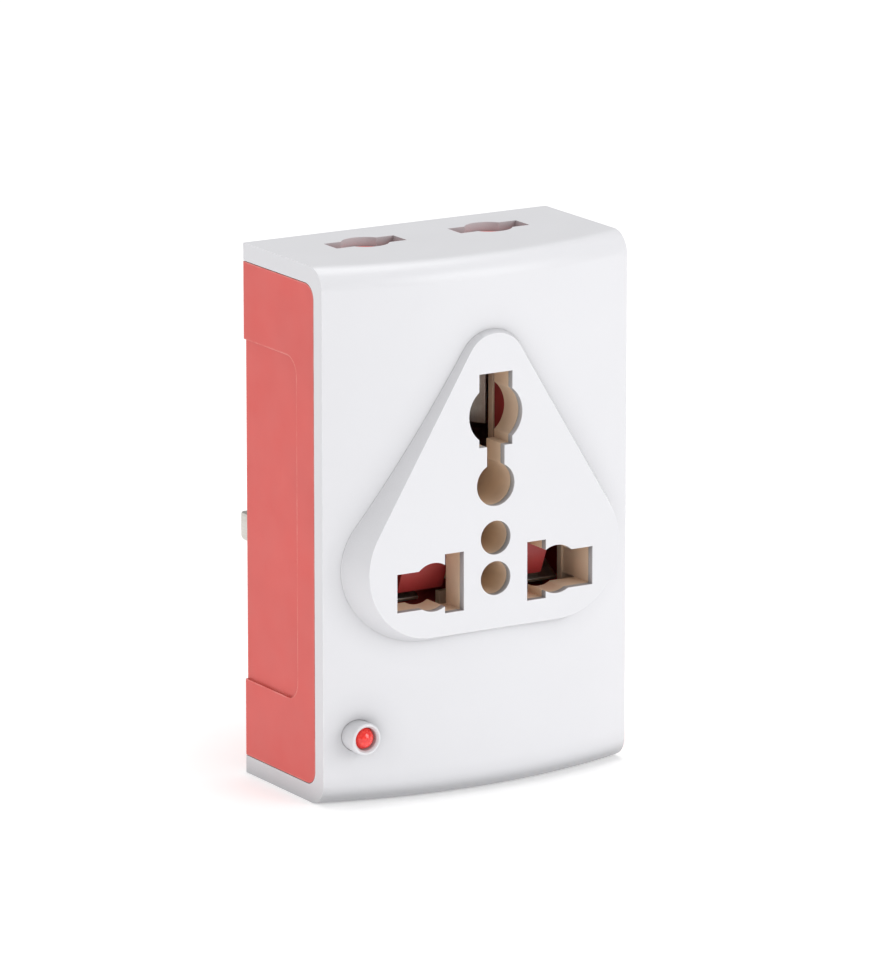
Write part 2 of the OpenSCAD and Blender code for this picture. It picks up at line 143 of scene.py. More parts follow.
# rings about a line along Y through x, z: x plus the radius times cos, the depth, z plus the radius times sin
def ringPoints(radius, t, angle, x, z):
    across, up, y = np.broadcast_arrays(x + radius * mm * np.cos(angle), z + radius * mm * np.sin(angle), depth(t))
    return np.stack([across, y, up], axis=-1)


# a profile of (radius, depth) in millimetres turned about a line along Y through x, z
def turned(profile, x, z, closed=False, columns=64):
    radius, t = np.array(profile, float).T[:, :, None]
    angle = np.linspace(0, 2 * pi, columns, endpoint=False)[None, :]
    points = ringPoints(radius, t, angle, x, z)
    return points.reshape(-1, 3), gridQuads(len(profile), columns, closed)


# rounded rectangles carried along Y: each row is depth, half width, half height and corner radius in millimetres,
# and a point is its corner's centre plus the radius towards an angle that goes once round
def lofted(rows, x, z, closed=False, perCorner=7):
    t, a, b, r = np.array(rows, float).T[:, :, None]
    r = np.minimum(r, np.minimum(a, b))
    corner = np.repeat(np.arange(4), perCorner)[None, :]
    turn = (corner + np.tile(np.linspace(0, 1, perCorner), 4)[None, :]) * pi / 2
    signX = np.where((corner == 0) | (corner == 3), 1, -1)
    signZ = np.where(corner < 2, 1, -1)
    across = signX * (a - r) + r * np.cos(turn)
    up = signZ * (b - r) + r * np.sin(turn)
    points = np.stack([x + across * mm, depth(t) + 0 * across, z + up * mm], axis=-1)
    return points.reshape(-1, 3), gridQuads(len(rows), 4 * perCorner, closed)


# a round tube along a path: each ring is the path's point plus the radius times cos and sin of the angle
# along two directions square to the path; the rings shrink to a point at both ends
def tube(path, side, radius, columns=14):
    step = np.gradient(path, axis=0)
    step /= np.linalg.norm(step, axis=1, keepdims=True)
    first = np.cross(step, side)
    first /= np.linalg.norm(first, axis=1, keepdims=True)
    second = np.cross(step, first)
    path = np.concatenate([path[:1], path[:1], path, path[-1:], path[-1:]])
    first = np.concatenate([first[:1], first[:1], first, first[-1:], first[-1:]])
    second = np.concatenate([second[:1], second[:1], second, second[-1:], second[-1:]])
    size = np.full(len(path), radius)
    size[[0, -1]], size[[1, -2]] = 0, 0.8 * radius
    angle = np.linspace(0, 2 * pi, columns, endpoint=False)
    rings = first[:, None] * np.cos(angle)[None, :, None] + second[:, None] * np.sin(angle)[None, :, None]
    points = path[:, None] + rings * size[:, None, None]
    return points.reshape(-1, 3), gridQuads(len(path), columns)


# material helpers

# adds a node, sets its inputs by name or number, and links outputs into it
def addNode(tree, kind, values={}, links={}, **settings):
    node = tree.nodes.new(kind)
    for key, value in settings.items():
        setattr(node, key, value)
    for key, value in values.items():
        node.inputs[key].default_value = value
    for key, source in links.items():
        tree.links.new(source, node.inputs[key])
    return node


# object coordinates in millimetres, stretched where a pattern runs one way
def objectMm(tree, stretch=(1, 1, 1)):
    coords = addNode(tree, "ShaderNodeTexCoord")
    scale = [1000 * s for s in stretch]
    return addNode(tree, "ShaderNodeMapping", {"Scale": scale}, {"Vector": coords.outputs["Object"]}).outputs["Vector"]


# fractal noise whose broadest blobs are about size millimetres
def noise(tree, vector, size, detail=3.0):
    values = {"Scale": 1 / size, "Detail": detail, "Roughness": 0.55}
    return addNode(tree, "ShaderNodeTexNoise", values, {"Vector": vector}).outputs["Fac"]


# a value's range carried in a straight line to another range, and held at its ends
def remap(tree, value, fromLow, fromHigh, toLow, toHigh):
    values = {"From Min": fromLow, "From Max": fromHigh, "To Min": toLow, "To Max": toHigh}
    return addNode(tree, "ShaderNodeMapRange", values, {"Value": value}).outputs["Result"]


# one sum, product or the like of two outputs
def combine(tree, first, second, operation):
    return addNode(tree, "ShaderNodeMath", {}, {0: first, 1: second}, operation=operation).outputs[0]


# from the first colour to the second as the amount goes from 0 to 1; a colour is a tuple or an output
def mixColour(tree, amount, first, second):
    values, links = {}, {0: amount}
    for key, colour in ((6, first), (7, second)):
        if isinstance(colour, tuple):
            values[key] = (*colour, 1)
        else:
            links[key] = colour
    return addNode(tree, "ShaderNodeMix", values, links, data_type="RGBA").outputs[2]


# strongest at the piece's own edges, where a rounded normal leans away from the plain one
def edgeMask(tree, width):
    soft = addNode(tree, "ShaderNodeBevel", {"Radius": width * mm}, samples=6)
    plain = addNode(tree, "ShaderNodeNewGeometry")
    lean = addNode(tree, "ShaderNodeVectorMath", {}, {0: soft.outputs["Normal"], 1: plain.outputs["Normal"]},
                   operation="DOT_PRODUCT")
    return remap(tree, lean.outputs["Value"], 0.99, 0.8, 0, 1)


# a bump whose full height is depthMm millimetres, laid over another one if there is one
def addBump(tree, height, depthMm, below=None):
    links = {"Height": height}
    if below is not None:
        links["Normal"] = below
    return addNode(tree, "ShaderNodeBump", {"Strength": 1.0, "Distance": depthMm * mm}, links).outputs["Normal"]


# a colour times a factor, held at 1
def shade(colour, factor):
    return tuple(min(1.0, c * factor) for c in colour)


# a new material, with its node tree and its shader
def newMaterial(name):
    mat = bpy.data.materials.new(name)
    mat.use_nodes = True
    return mat, mat.node_tree, mat.node_tree.nodes["Principled BSDF"]


# moulded plastics: colour, how far it drifts where the melt flowed, gloss, dirt and painted shade in corners, orange
# peel, fine grain, scuffs, and edges worn paler, partly as a painted highlight; sizes and depths are in millimetres
plastics = {
    "coverWhite": {"colour": (0.765, 0.765, 0.79), "drift": 0.006, "flowSize": 18,
                   "rough": 0.335, "roughSpread": 0.06, "dirtAndShade": 0.8, "dirtAndShadeReach": 4.5,
                   "peel": 0.0012, "peelSize": 3.0, "grain": 0.0002, "grainSize": 0.6, "scuff": 0.015,
                   "edgeColour": (0.88, 0.88, 0.90), "edgeWearAndHighlight": 0.6},
    "shellCoral": {"colour": (0.73, 0.085, 0.069), "drift": 0.045, "flowSize": 13,
                   "rough": 0.36, "roughSpread": 0.12, "dirtAndShade": 0.35, "dirtAndShadeReach": 1.5,
                   "peel": 0.0025, "peelSize": 1.8, "grain": 0.0022, "grainSize": 0.16, "scuff": 0.05,
                   "edgeColour": (0.86, 0.33, 0.29), "edgeWearAndHighlight": 0.95},
    "carrierTan": {"colour": (0.86, 0.67, 0.50), "drift": 0.06, "flowSize": 5,
                   "rough": 0.48, "roughSpread": 0.12, "dirtAndShade": 0.2, "dirtAndShadeReach": 1.0,
                   "peel": 0.002, "peelSize": 1.2, "grain": 0.0025, "grainSize": 0.14, "scuff": 0.06,
                   "edgeColour": (0.88, 0.72, 0.56), "edgeWearAndHighlight": 0.35},
    "shutterRed": {"colour": (0.36, 0.036, 0.036), "drift": 0.08, "flowSize": 4,
                   "rough": 0.38, "roughSpread": 0.12, "dirtAndShade": 0.15, "dirtAndShadeReach": 1.0,
                   "peel": 0.002, "peelSize": 1.2, "grain": 0.0015, "grainSize": 0.12, "scuff": 0.16,
                   "edgeColour": (0.40, 0.07, 0.06), "edgeWearAndHighlight": 0.4},
    "sleeveBlack": {"colour": (0.018, 0.018, 0.020), "drift": 0.15, "flowSize": 3,
                    "rough": 0.42, "roughSpread": 0.14, "dirtAndShade": 0.1, "dirtAndShadeReach": 1.0,
                    "peel": 0.002, "peelSize": 1.0, "grain": 0.002, "grainSize": 0.10, "scuff": 0.35,
                    "edgeColour": (0.06, 0.06, 0.062), "edgeWearAndHighlight": 0.6},
    "footPale": {"colour": (0.66, 0.65, 0.56), "drift": 0.05, "flowSize": 2,
                 "rough": 0.4, "roughSpread": 0.1, "dirtAndShade": 0.2, "dirtAndShadeReach": 1.0,
                 "peel": 0.001, "peelSize": 0.8, "grain": 0.001, "grainSize": 0.1, "scuff": 0.05,
                 "edgeColour": (0.7, 0.69, 0.6), "edgeWearAndHighlight": 0.2},
    "sleevingBrown": {"colour": (0.13, 0.045, 0.02), "drift": 0.10, "flowSize": 2.5,
                      "rough": 0.5, "roughSpread": 0.1, "dirtAndShade": 0.1, "dirtAndShadeReach": 1.0,
                      "peel": 0.003, "peelSize": 0.6, "grain": 0.001, "grainSize": 0.08, "scuff": 0.08,
                      "edgeColour": (0.18, 0.07, 0.03), "edgeWearAndHighlight": 0.2},
    "sleevingBlue": {"colour": (0.02, 0.05, 0.22), "drift": 0.10, "flowSize": 2.5,
                     "rough": 0.5, "roughSpread": 0.1, "dirtAndShade": 0.1, "dirtAndShadeReach": 1.0,
                     "peel": 0.003, "peelSize": 0.6, "grain": 0.001, "grainSize": 0.08, "scuff": 0.08,
                     "edgeColour": (0.04, 0.08, 0.28), "edgeWearAndHighlight": 0.2},
}
# the socket face has a wider and stronger painted shade round the foot of its walls, standing more for shading than for
# dirt
plastics["faceWhite"] = dict(plastics["coverWhite"], dirtAndShade=1.0, dirtAndShadeReach=9.0)


# shared by the plastics: sizes in millimetres, and the pairs of levels between which a pattern sets in
plasticWear = {"softLevels": (0.3, 0.7), "cloudSize": 6, "patchSize": 2.5, "patchLevels": (0.42, 0.62), "edgeWidth": 0.45,
               "cornerLevels": (0.35, 0.95), "dirtAndShadeTone": 0.45, "scuffRuns": ((0.25, 0.25, 5), (4, 0.8, 0.2)),
               "scuffSizes": (1.2, 1.1), "scuffLevels": ((0.66, 0.72), (0.67, 0.73)), "refraction": 1.5}


# a moulded plastic: its own colour drifts, then edges go paler from wear and a painted highlight, then corners get
# greyer from dirt and painted shade
def makePlastic(name):
    p, w = plastics[name], plasticWear
    mat, tree, shader = newMaterial(name)
    place = objectMm(tree)
    flow = remap(tree, noise(tree, place, p["flowSize"], 2), *w["softLevels"], 0, 1)
    body = mixColour(tree, flow, shade(p["colour"], 1 - p["drift"]), shade(p["colour"], 1 + p["drift"]))
    # edges go paler: partly wear, partly a painted highlight along the rounded rims
    patchy = remap(tree, noise(tree, place, w["patchSize"], 5), *w["patchLevels"], 0.25 * p["edgeWearAndHighlight"], p["edgeWearAndHighlight"])
    wearAndHighlight = combine(tree, edgeMask(tree, w["edgeWidth"]), patchy, "MULTIPLY")
    body = mixColour(tree, wearAndHighlight, body, p["edgeColour"])
    # ambient occlusion greys the colour in corners and at the foot of walls: painted shade, partly dirt
    corner = addNode(tree, "ShaderNodeAmbientOcclusion", {"Distance": p["dirtAndShadeReach"] * mm}, samples=8).outputs["AO"]
    dirtAndShade = remap(tree, corner, *w["cornerLevels"], p["dirtAndShade"], 0)
    body = mixColour(tree, dirtAndShade, body, shade(p["colour"], w["dirtAndShadeTone"]))
    tree.links.new(body, shader.inputs["Base Color"])
    # gloss: a broad drift, with two sets of hairline scuffs across it
    half = p["roughSpread"] / 2
    cloud = remap(tree, noise(tree, place, w["cloudSize"], 2), *w["softLevels"], p["rough"] - half, p["rough"] + half)
    scuffs = []
    for run, size, levels in zip(w["scuffRuns"], w["scuffSizes"], w["scuffLevels"]):
        scuffs.append(remap(tree, noise(tree, objectMm(tree, run), size, 2), *levels, 0, p["scuff"]))
    tree.links.new(combine(tree, cloud, combine(tree, *scuffs, "ADD"), "ADD"), shader.inputs["Roughness"])
    peel = addBump(tree, noise(tree, place, p["peelSize"], 2), p["peel"])
    grain = addBump(tree, noise(tree, place, p["grainSize"], 2), p["grain"], peel)
    tree.links.new(grain, shader.inputs["Normal"])
    shader.inputs["IOR"].default_value = w["refraction"]
    return mat


# metals: colour, tarnish, gloss, and the way that the drawing or rolling marks run
metals = {
    "pinNickel": {"colour": (0.66, 0.64, 0.60), "tarnish": (0.42, 0.39, 0.34), "tarnishAmount": 0.35, "rough": 0.34,
                  "roughSpread": 0.10, "marks": (6, 0.12, 6), "marksDepth": 0.0012, "edgeColour": (0.82, 0.80, 0.76)},
    "contactNickel": {"colour": (0.74, 0.73, 0.70), "tarnish": (0.40, 0.38, 0.34), "tarnishAmount": 0.35, "rough": 0.33,
                      "roughSpread": 0.10, "marks": (0.15, 5, 5), "marksDepth": 0.0010, "edgeColour": (0.85, 0.84, 0.8)},
    "stripBrass": {"colour": (0.70, 0.46, 0.20), "tarnish": (0.34, 0.18, 0.07), "tarnishAmount": 0.4, "rough": 0.36,
                   "roughSpread": 0.14, "marks": (5, 5, 0.15), "marksDepth": 0.0010, "edgeColour": (0.85, 0.62, 0.32)},
    "springSteel": {"colour": (0.50, 0.50, 0.51), "tarnish": (0.28, 0.26, 0.24), "tarnishAmount": 0.3, "rough": 0.34,
                    "roughSpread": 0.1, "marks": (3, 3, 3), "marksDepth": 0.0006, "edgeColour": (0.6, 0.6, 0.6)},
    "screwZinc": {"colour": (0.56, 0.57, 0.60), "tarnish": (0.46, 0.42, 0.30), "tarnishAmount": 0.4, "rough": 0.36,
                  "roughSpread": 0.14, "marks": (2.5, 2.5, 2.5), "marksDepth": 0.0012, "edgeColour": (0.72, 0.73, 0.75)},
}


# shared by the metals: sizes in millimetres, and the pairs of levels between which a pattern sets in
metalWear = {"blotchSize": 2.2, "blotchLevels": (0.45, 0.68), "markSize": 0.9, "streakLevels": (0.35, 0.7), "streak": 0.22,
             "edgeWidth": 0.25, "edgeLevels": (0.3, 0.6), "edgeShare": (0.3, 0.8), "softLevels": (0.3, 0.7)}


# a metal: tarnish lies in blotches and along the marks, the edges are rubbed bright, and tarnish is duller
def makeMetal(name):
    m, w = metals[name], metalWear
    mat, tree, shader = newMaterial(name)
    place = objectMm(tree)
    blotch = remap(tree, noise(tree, place, w["blotchSize"], 6), *w["blotchLevels"], 0, m["tarnishAmount"])
    plain = mixColour(tree, blotch, m["colour"], m["tarnish"])
    marks = noise(tree, objectMm(tree, m["marks"]), w["markSize"], 3)
    streaked = mixColour(tree, remap(tree, marks, *w["streakLevels"], 0, w["streak"]), plain, m["tarnish"])
    rubbed = combine(tree, edgeMask(tree, w["edgeWidth"]), remap(tree, marks, *w["edgeLevels"], *w["edgeShare"]), "MULTIPLY")
    tree.links.new(mixColour(tree, rubbed, streaked, m["edgeColour"]), shader.inputs["Base Color"])
    half = m["roughSpread"] / 2
    gloss = remap(tree, marks, *w["softLevels"], m["rough"] - half, m["rough"] + half)
    tree.links.new(combine(tree, gloss, combine(tree, blotch, blotch, "MULTIPLY"), "ADD"), shader.inputs["Roughness"])
    tree.links.new(addBump(tree, marks, m["marksDepth"]), shader.inputs["Normal"])
    shader.inputs["Metallic"].default_value = 1.0
    return mat


# the lamp's lens: clear red with fine facets inside it and a little of its own glow
lens = {"deep": (0.62, 0.010, 0.012), "bright": (0.86, 0.045, 0.03), "facet": 0.45, "facetDepth": 0.01, "glow": 0.25,
        "coat": 0.6, "rough": (0.08, 0.2)}


# the colour goes from bright to deep with the distance from each facet's middle
def makeLens():
    mat, tree, shader = newMaterial("lensRed")
    place = objectMm(tree)
    cells = addNode(tree, "ShaderNodeTexVoronoi", {"Scale": 1 / lens["facet"]}, {"Vector": place}).outputs["Distance"]
    colour = mixColour(tree, remap(tree, cells, 0.1, 0.7, 0, 1), lens["bright"], lens["deep"])
    tree.links.new(colour, shader.inputs["Base Color"])
    tree.links.new(remap(tree, noise(tree, place, 0.8), 0.3, 0.7, *lens["rough"]), shader.inputs["Roughness"])
    tree.links.new(addBump(tree, cells, lens["facetDepth"]), shader.inputs["Normal"])
    shader.inputs["Coat Weight"].default_value = lens["coat"]
    shader.inputs["Emission Color"].default_value = (*lens["bright"], 1)
    shader.inputs["Emission Strength"].default_value = lens["glow"]
    return mat


# the resistor: a dipped body with painted rings at fixed depths, and tinned leads
resistorPaint = {"body": (0.52, 0.36, 0.17), "lead": (0.55, 0.55, 0.55), "middle": 16.3, "bodyHalf": 2.15,
                 "ringHalf": 0.22, "waver": 0.12,
                 "rings": ((14.9, (0.20, 0.05, 0.02)), (15.8, (0.02, 0.02, 0.02)),
                           (16.6, (0.55, 0.22, 0.02)), (17.7, (0.5, 0.36, 0.08)))}


# a ring is where the depth, wavering a little, is within half a ring of its own depth
def makeResistorPaint():
    p = resistorPaint
    mat, tree, shader = newMaterial("resistorPaint")
    place = objectMm(tree)
    along = addNode(tree, "ShaderNodeSeparateXYZ", {}, {"Vector": place}).outputs["Y"]
    wavy = combine(tree, along, remap(tree, noise(tree, place, 1.0), 0, 1, -p["waver"], p["waver"]), "ADD")
    colour = mixColour(tree, noise(tree, place, 0.7, 4), shade(p["body"], 0.85), shade(p["body"], 1.15))

    # 1 where the value is within reach of the depth t, else 0
    def within(value, t, reach):
        values = {1: float(depth(t)) / mm, 2: reach}
        return addNode(tree, "ShaderNodeMath", values, {0: value}, operation="COMPARE").outputs[0]
    for t, ring in p["rings"]:
        colour = mixColour(tree, within(wavy, t, p["ringHalf"]), colour, ring)
    onBody = within(along, p["middle"], p["bodyHalf"])
    tree.links.new(mixColour(tree, onBody, p["lead"], colour), shader.inputs["Base Color"])
    tree.links.new(remap(tree, noise(tree, place, 0.5), 0.3, 0.7, 0.2, 0.35), shader.inputs["Roughness"])
    tree.links.new(remap(tree, onBody, 0, 1, 1, 0), shader.inputs["Metallic"])
    tree.links.new(addBump(tree, noise(tree, place, 0.6), 0.01), shader.inputs["Normal"])
    return mat


finishes = {name: makePlastic(name) for name in plastics}
finishes.update({name: makeMetal(name) for name in metals})
finishes["lensRed"] = makeLens()
finishes["resistorPaint"] = makeResistorPaint()
print("finishes made:", len(finishes))


# gives a piece its finish and body, and hides the node that it replaces
def settle(piece, finish, node, body="case"):
    piece.data.materials.clear()
    piece.data.materials.append(finishes[finish])
    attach(piece, body)
    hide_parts(node)


# lights, floor and camera

camera = {"distance": 1.032, "yaw": 31.16, "pitch": 13.64, "focal": 285.1, "sensor": 36, "clip": (0.05, 20),
          "aim": (0.0, frontY + 0.01275, 0.03625), "aimLeft": 0.00048, "aimUp": 0.00236}


# stands back from the aim by the distance along yaw and pitch, with the aim moved a little left and up
def makeCamera(c):
    yaw, pitch = radians(c["yaw"]), radians(c["pitch"])
    back = Vector((-sin(yaw) * cos(pitch), -cos(yaw) * cos(pitch), sin(pitch)))
    right = Vector((cos(yaw), -sin(yaw), 0))
    up = right.cross(-back).normalized()
    aim = Vector(c["aim"]) - right * c["aimLeft"] + up * c["aimUp"]
    data = bpy.data.cameras.new("viewCamera")
    data.lens = c["focal"]
    data.sensor_width = c["sensor"]
    data.clip_start, data.clip_end = c["clip"]
    view = addObject("viewCamera", data)
    view.location = aim + back * c["distance"]
    view.rotation_euler = (-back).to_track_quat("-Z", "Y").to_euler()
    bpy.context.scene.camera = view
    print("camera made")


makeCamera(camera)

studio = {"world": 0.42, "floorColour": (0.90, 0.90, 0.90), "floorGlow": 0.30, "floorRough": 0.9, "floorHalf": 8.0,
          "lampAim": (0, 0, 0.035)}
lamps = {
    "frontSoft": {"place": (0.55, -1.0, 0.45), "size": 0.8, "power": 5.2},
    "leftSoft": {"place": (-1.1, -0.25, 0.5), "size": 0.7, "power": 1.9},
    "topSoft": {"place": (0.1, 0.2, 1.3), "size": 1.1, "power": 8.6},
}


# a pale world, round lamps turned to the object, and a pale floor
def makeStudio():
    world = bpy.data.worlds.new("studioWorld")
    bpy.context.scene.world = world
    world.use_nodes = True
    background = world.node_tree.nodes["Background"]
    background.inputs["Color"].default_value = (1, 1, 1, 1)
    background.inputs["Strength"].default_value = studio["world"]
    for name, lamp in lamps.items():
        data = bpy.data.lights.new(name, "AREA")
        data.shape = "DISK"
        data.size = lamp["size"]
        data.energy = lamp["power"]
        light = addObject(name, data)
        light.location = lamp["place"]
        towards = Vector(studio["lampAim"]) - light.location
        light.rotation_euler = towards.to_track_quat("-Z", "Y").to_euler()
    mesh = bpy.data.meshes.new("floor")
    s = studio["floorHalf"]
    mesh.from_pydata([(-s, -s, 0), (s, -s, 0), (s, s, 0), (-s, s, 0)], [], [(0, 1, 2, 3)])
    floor = addObject("floor", mesh)
    mat, _, shader = newMaterial("paleFloor")
    shader.inputs["Base Color"].default_value = (*studio["floorColour"], 1)
    shader.inputs["Roughness"].default_value = studio["floorRough"]
    shader.inputs["Emission Color"].default_value = (1, 1, 1, 1)
    shader.inputs["Emission Strength"].default_value = studio["floorGlow"]
    mesh.materials.append(mat)
    bpy.context.scene.view_settings.view_transform = "Standard"
    print("studio made")


makeStudio()


# moulded pieces: a copy of each node with its edges rounded by a radius in millimetres
moulded = {
    "coverShell": {"node": "front_cover", "finish": "coverWhite", "round": 0.35},
    "faceShell": {"node": "socket_face", "finish": "faceWhite", "round": 0.25},
    "rearShell": {"node": "rear_shell", "finish": "shellCoral", "round": 0.25},
    "carrierBlock": {"node": "contact_carrier", "finish": "carrierTan", "round": 0.12},
    "retainerPlate": {"node": "shutter_retainer", "finish": "carrierTan", "round": 0.12},
    "shutterPlate": {"node": "shutter", "finish": "shutterRed", "round": 0.15, "body": "shutter"},
}
for name, piece in moulded.items():
    copy = roundedCopy(piece["node"], name, piece["round"])
    settle(copy, piece["finish"], piece["node"], piece.get("body", "case"))
print("moulded pieces made:", len(moulded))

# stamped and folded strip, with the burr taken off
stamped = {
    "liveContact": {"node": "live_contact", "finish": "contactNickel", "round": 0.08},
    "neutralContact": {"node": "neutral_contact", "finish": "contactNickel", "round": 0.08},
    "earthContact": {"node": "earth_contact", "finish": "contactNickel", "round": 0.08},
    "topLiveClip": {"node": "top_live_clip", "finish": "contactNickel", "round": 0.08},
    "topNeutralClip": {"node": "top_neutral_clip", "finish": "contactNickel", "round": 0.08},
    "lampFoot": {"node": "lamp_body", "finish": "footPale", "round": 0.06},
}
for name, piece in stamped.items():
    settle(roundedCopy(piece["node"], name, piece["round"], 2), piece["finish"], piece["node"])
print("stamped pieces made:", len(stamped))


# plug pins: riveted head, square shoulder, flange, then the blade with a rounded tip
pinShape = {"headTop": 17.75, "headRadius": 2.1, "headRound": 0.3, "headThick": 0.7, "stemRadius": 1.25, "stemEnd": 19.15,
            "shoulder": 1.7, "flangeOut": 1.0, "flangeFront": 3.7, "flangeBack": 2.3, "flangeRound": 0.1,
            "cornerRadius": 0.3, "neck": 0.5, "tipLength": 1.6, "tipIn": 0.9}
tiny = 0.01      # half size of a closing row
full = 9         # a corner radius past any half size, so the row is round


# rows from the riveted head to the tip; the tip's inset = tipIn (0.35 w^1.5 + 0.65 w^5), w the way along it
def pinPiece(name, node, sleeve, halfWide, halfHigh):
    s = pinShape
    x, z, _, end = nodeSpan(node)
    plate = (backY - frontY) / mm
    a, b, r = halfWide, halfHigh, s["cornerRadius"]
    top, head, stem, square = s["headTop"], s["headRadius"], s["stemRadius"], s["shoulder"]
    under, stemEnd = top + s["headThick"], s["stemEnd"]
    rows = [(top, tiny, tiny, 1), (top, 0.7 * head, 0.7 * head, full), (top + 0.08, 0.88 * head, 0.88 * head, full),
            (top + s["headRound"], head, head, full), (under, head, head, full), (under, stem, stem, full),
            (stemEnd, stem, stem, full), (stemEnd, square, square, 0.2), (plate - s["flangeFront"], square, square, 0.2)]
    e = s["flangeRound"]
    front, back = plate - s["flangeFront"], plate - s["flangeBack"]
    flangeA, flangeB = a + s["flangeOut"], b + s["flangeOut"]
    rows += [(front, flangeA - e, flangeB - e, 0.4), (front + e, flangeA, flangeB, 0.5),
             (back - e, flangeA, flangeB, 0.5), (back, flangeA - e, flangeB - e, 0.4),
             (back, a, b, r), (plate + 0.03, a, b, r)]
    if sleeve:
        n, stop = s["neck"], nodeSpan(sleeve)[3] + 0.05      # the neck ends just past the sleeve
        rows += [(plate + 0.05, a - n, b - n, r / 2), (stop, a - n, b - n, r / 2),
                 (stop, a - 0.06, b - 0.06, r), (stop + 0.08, a, b, r)]
    way = np.linspace(0, 1, 9)
    inset = s["tipIn"] * (0.35 * way ** 1.5 + 0.65 * way ** 5)
    rows += [(end - s["tipLength"] * (1 - w), a - i, b - i, r + 0.5 * i) for w, i in zip(way, inset)]
    rows += [(end, tiny, tiny, 1)]
    settle(makePiece(name, *lofted(rows, x, z), sharp=40), "pinNickel", node)


# half a node's width and height in millimetres, less a margin
def halfSizes(node, margin=0.0):
    low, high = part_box(node)
    return (high.x - low.x) / 2 / mm - margin, (high.z - low.z) / 2 / mm - margin


lineWide, lineHigh = halfSizes("live_sleeve")
pinPiece("livePin", "live_pin", "live_sleeve", lineWide, lineHigh)
pinPiece("neutralPin", "neutral_pin", "neutral_sleeve", lineWide, lineHigh)
pinPiece("earthPin", "earth_pin", None, *halfSizes("earth_pin", pinShape["flangeOut"]))
print("plug pins made")

# insulating sleeves: a ring of rounded rectangles, out along the outside and back through the bore
sleeveShape = {"wall": 0.46, "cornerRadius": 0.3, "boreRadius": 0.15, "endRound": 0.12}


def sleevePiece(name, node):
    s = sleeveShape
    x, z, start, stop = nodeSpan(node)
    a, b, r, e = lineWide, lineHigh, s["cornerRadius"], s["endRound"]
    w, bore = s["wall"], s["boreRadius"]
    rows = [(start, a - e, b - e, r - e / 2), (start + 0.3 * e, a - 0.3 * e, b - 0.3 * e, r), (start + e, a, b, r),
            (stop - e, a, b, r), (stop - 0.3 * e, a - 0.3 * e, b - 0.3 * e, r), (stop, a - e, b - e, r - e / 2),
            (stop, a - w, b - w, bore), (start, a - w, b - w, bore)]
    settle(makePiece(name, *lofted(rows, x, z, closed=True)), "sleeveBlack", node)


sleevePiece("liveSleeve", "live_sleeve")
sleevePiece("neutralSleeve", "neutral_sleeve")
print("sleeves made")

# indicator lamp: collar and domed lens, both turned
collarShape = {"front": 1.25, "back": 9.0, "radius": 2.15, "bore": 1.55, "lip": 1.8, "edge": 0.3,
               "flange": 2.55, "flangeFront": 6.9, "flangeBack": 7.9, "flangeRound": 0.1}
lensShape = {"radius": 1.5, "rim": 0.5, "rimFront": 9.1, "rimBack": 10.0, "rimRound": 0.05}


# collar: outside, flange, rounded edge and bore; dome: radius = R sin q, depth = top + R (1 - cos q)
def lampPieces():
    c, n = collarShape, lensShape
    front, back, outer, bore, e = c["front"], c["back"], c["radius"], c["bore"], c["edge"]
    wide, f = c["flange"], c["flangeRound"]
    outside = [(outer, back), (outer, c["flangeBack"]), (wide - f, c["flangeBack"]), (wide, c["flangeBack"] - f),
               (wide, c["flangeFront"] + f), (wide - f, c["flangeFront"]), (outer, c["flangeFront"])]
    edge = [(outer - e + e * cos(q), front + e - e * sin(q)) for q in np.linspace(0, pi / 2, 8)]
    inside = [(c["lip"] + 0.04, front), (c["lip"], front + 0.03), (bore + 0.03, front + 0.3),
              (bore, front + 0.34), (bore, back)]
    collar = makePiece("lampCollar", *turned(outside + edge + inside, lampX, lampZ, closed=True), sharp=50)
    settle(collar, "coverWhite", "lamp_collar")
    top, size, g = nodeSpan("lamp_lens")[2], n["radius"], n["rimRound"]
    rim, rimFront, rimBack = size + n["rim"], n["rimFront"], n["rimBack"]
    dome = [(size * sin(q), top + size * (1 - cos(q))) for q in np.linspace(0, pi / 2, 14)]
    body = [(size, rimFront), (rim - g, rimFront), (rim, rimFront + g), (rim, rimBack - g),
            (rim - g, rimBack), (0, rimBack)]
    settle(makePiece("lampLens", *turned(dome + body, lampX, lampZ), sharp=50), "lensRed", "lamp_lens")


lampPieces()
print("lamp made")

# return spring: a helix whose height eases in and out, so its first and last turns lie flat
springShape = {"turns": 6.0, "coil": 1.2, "wire": 0.19, "flat": 0.9, "perTurn": 40}


def springPiece():
    s = springShape
    low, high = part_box("shutter_spring")
    x, y = (low.x + high.x) / 2, (low.y + high.y) / 2
    turn = np.linspace(0, s["turns"], int(s["turns"] * s["perTurn"]) + 1)
    share = np.clip((turn - s["flat"]) / (s["turns"] - 2 * s["flat"]), 0, 1)
    w = s["wire"] * mm
    flatRise = 2 * w * np.minimum(turn, s["flat"]) + 2 * w * np.clip(turn - s["turns"] + s["flat"], 0, None)
    height = low.z + w + flatRise + share * (high.z - low.z - 2 * w - 4 * w * s["flat"])
    angle = 2 * pi * turn
    path = np.stack([x + s["coil"] * mm * np.cos(angle), y + s["coil"] * mm * np.sin(angle), height], axis=-1)
    piece = makePiece("returnSpring", *tube(path, np.array([0, 0, 1.0]), w, 12), sharp=60)
    settle(piece, "springSteel", "shutter_spring")
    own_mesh(piece)


springPiece()
print("spring made")

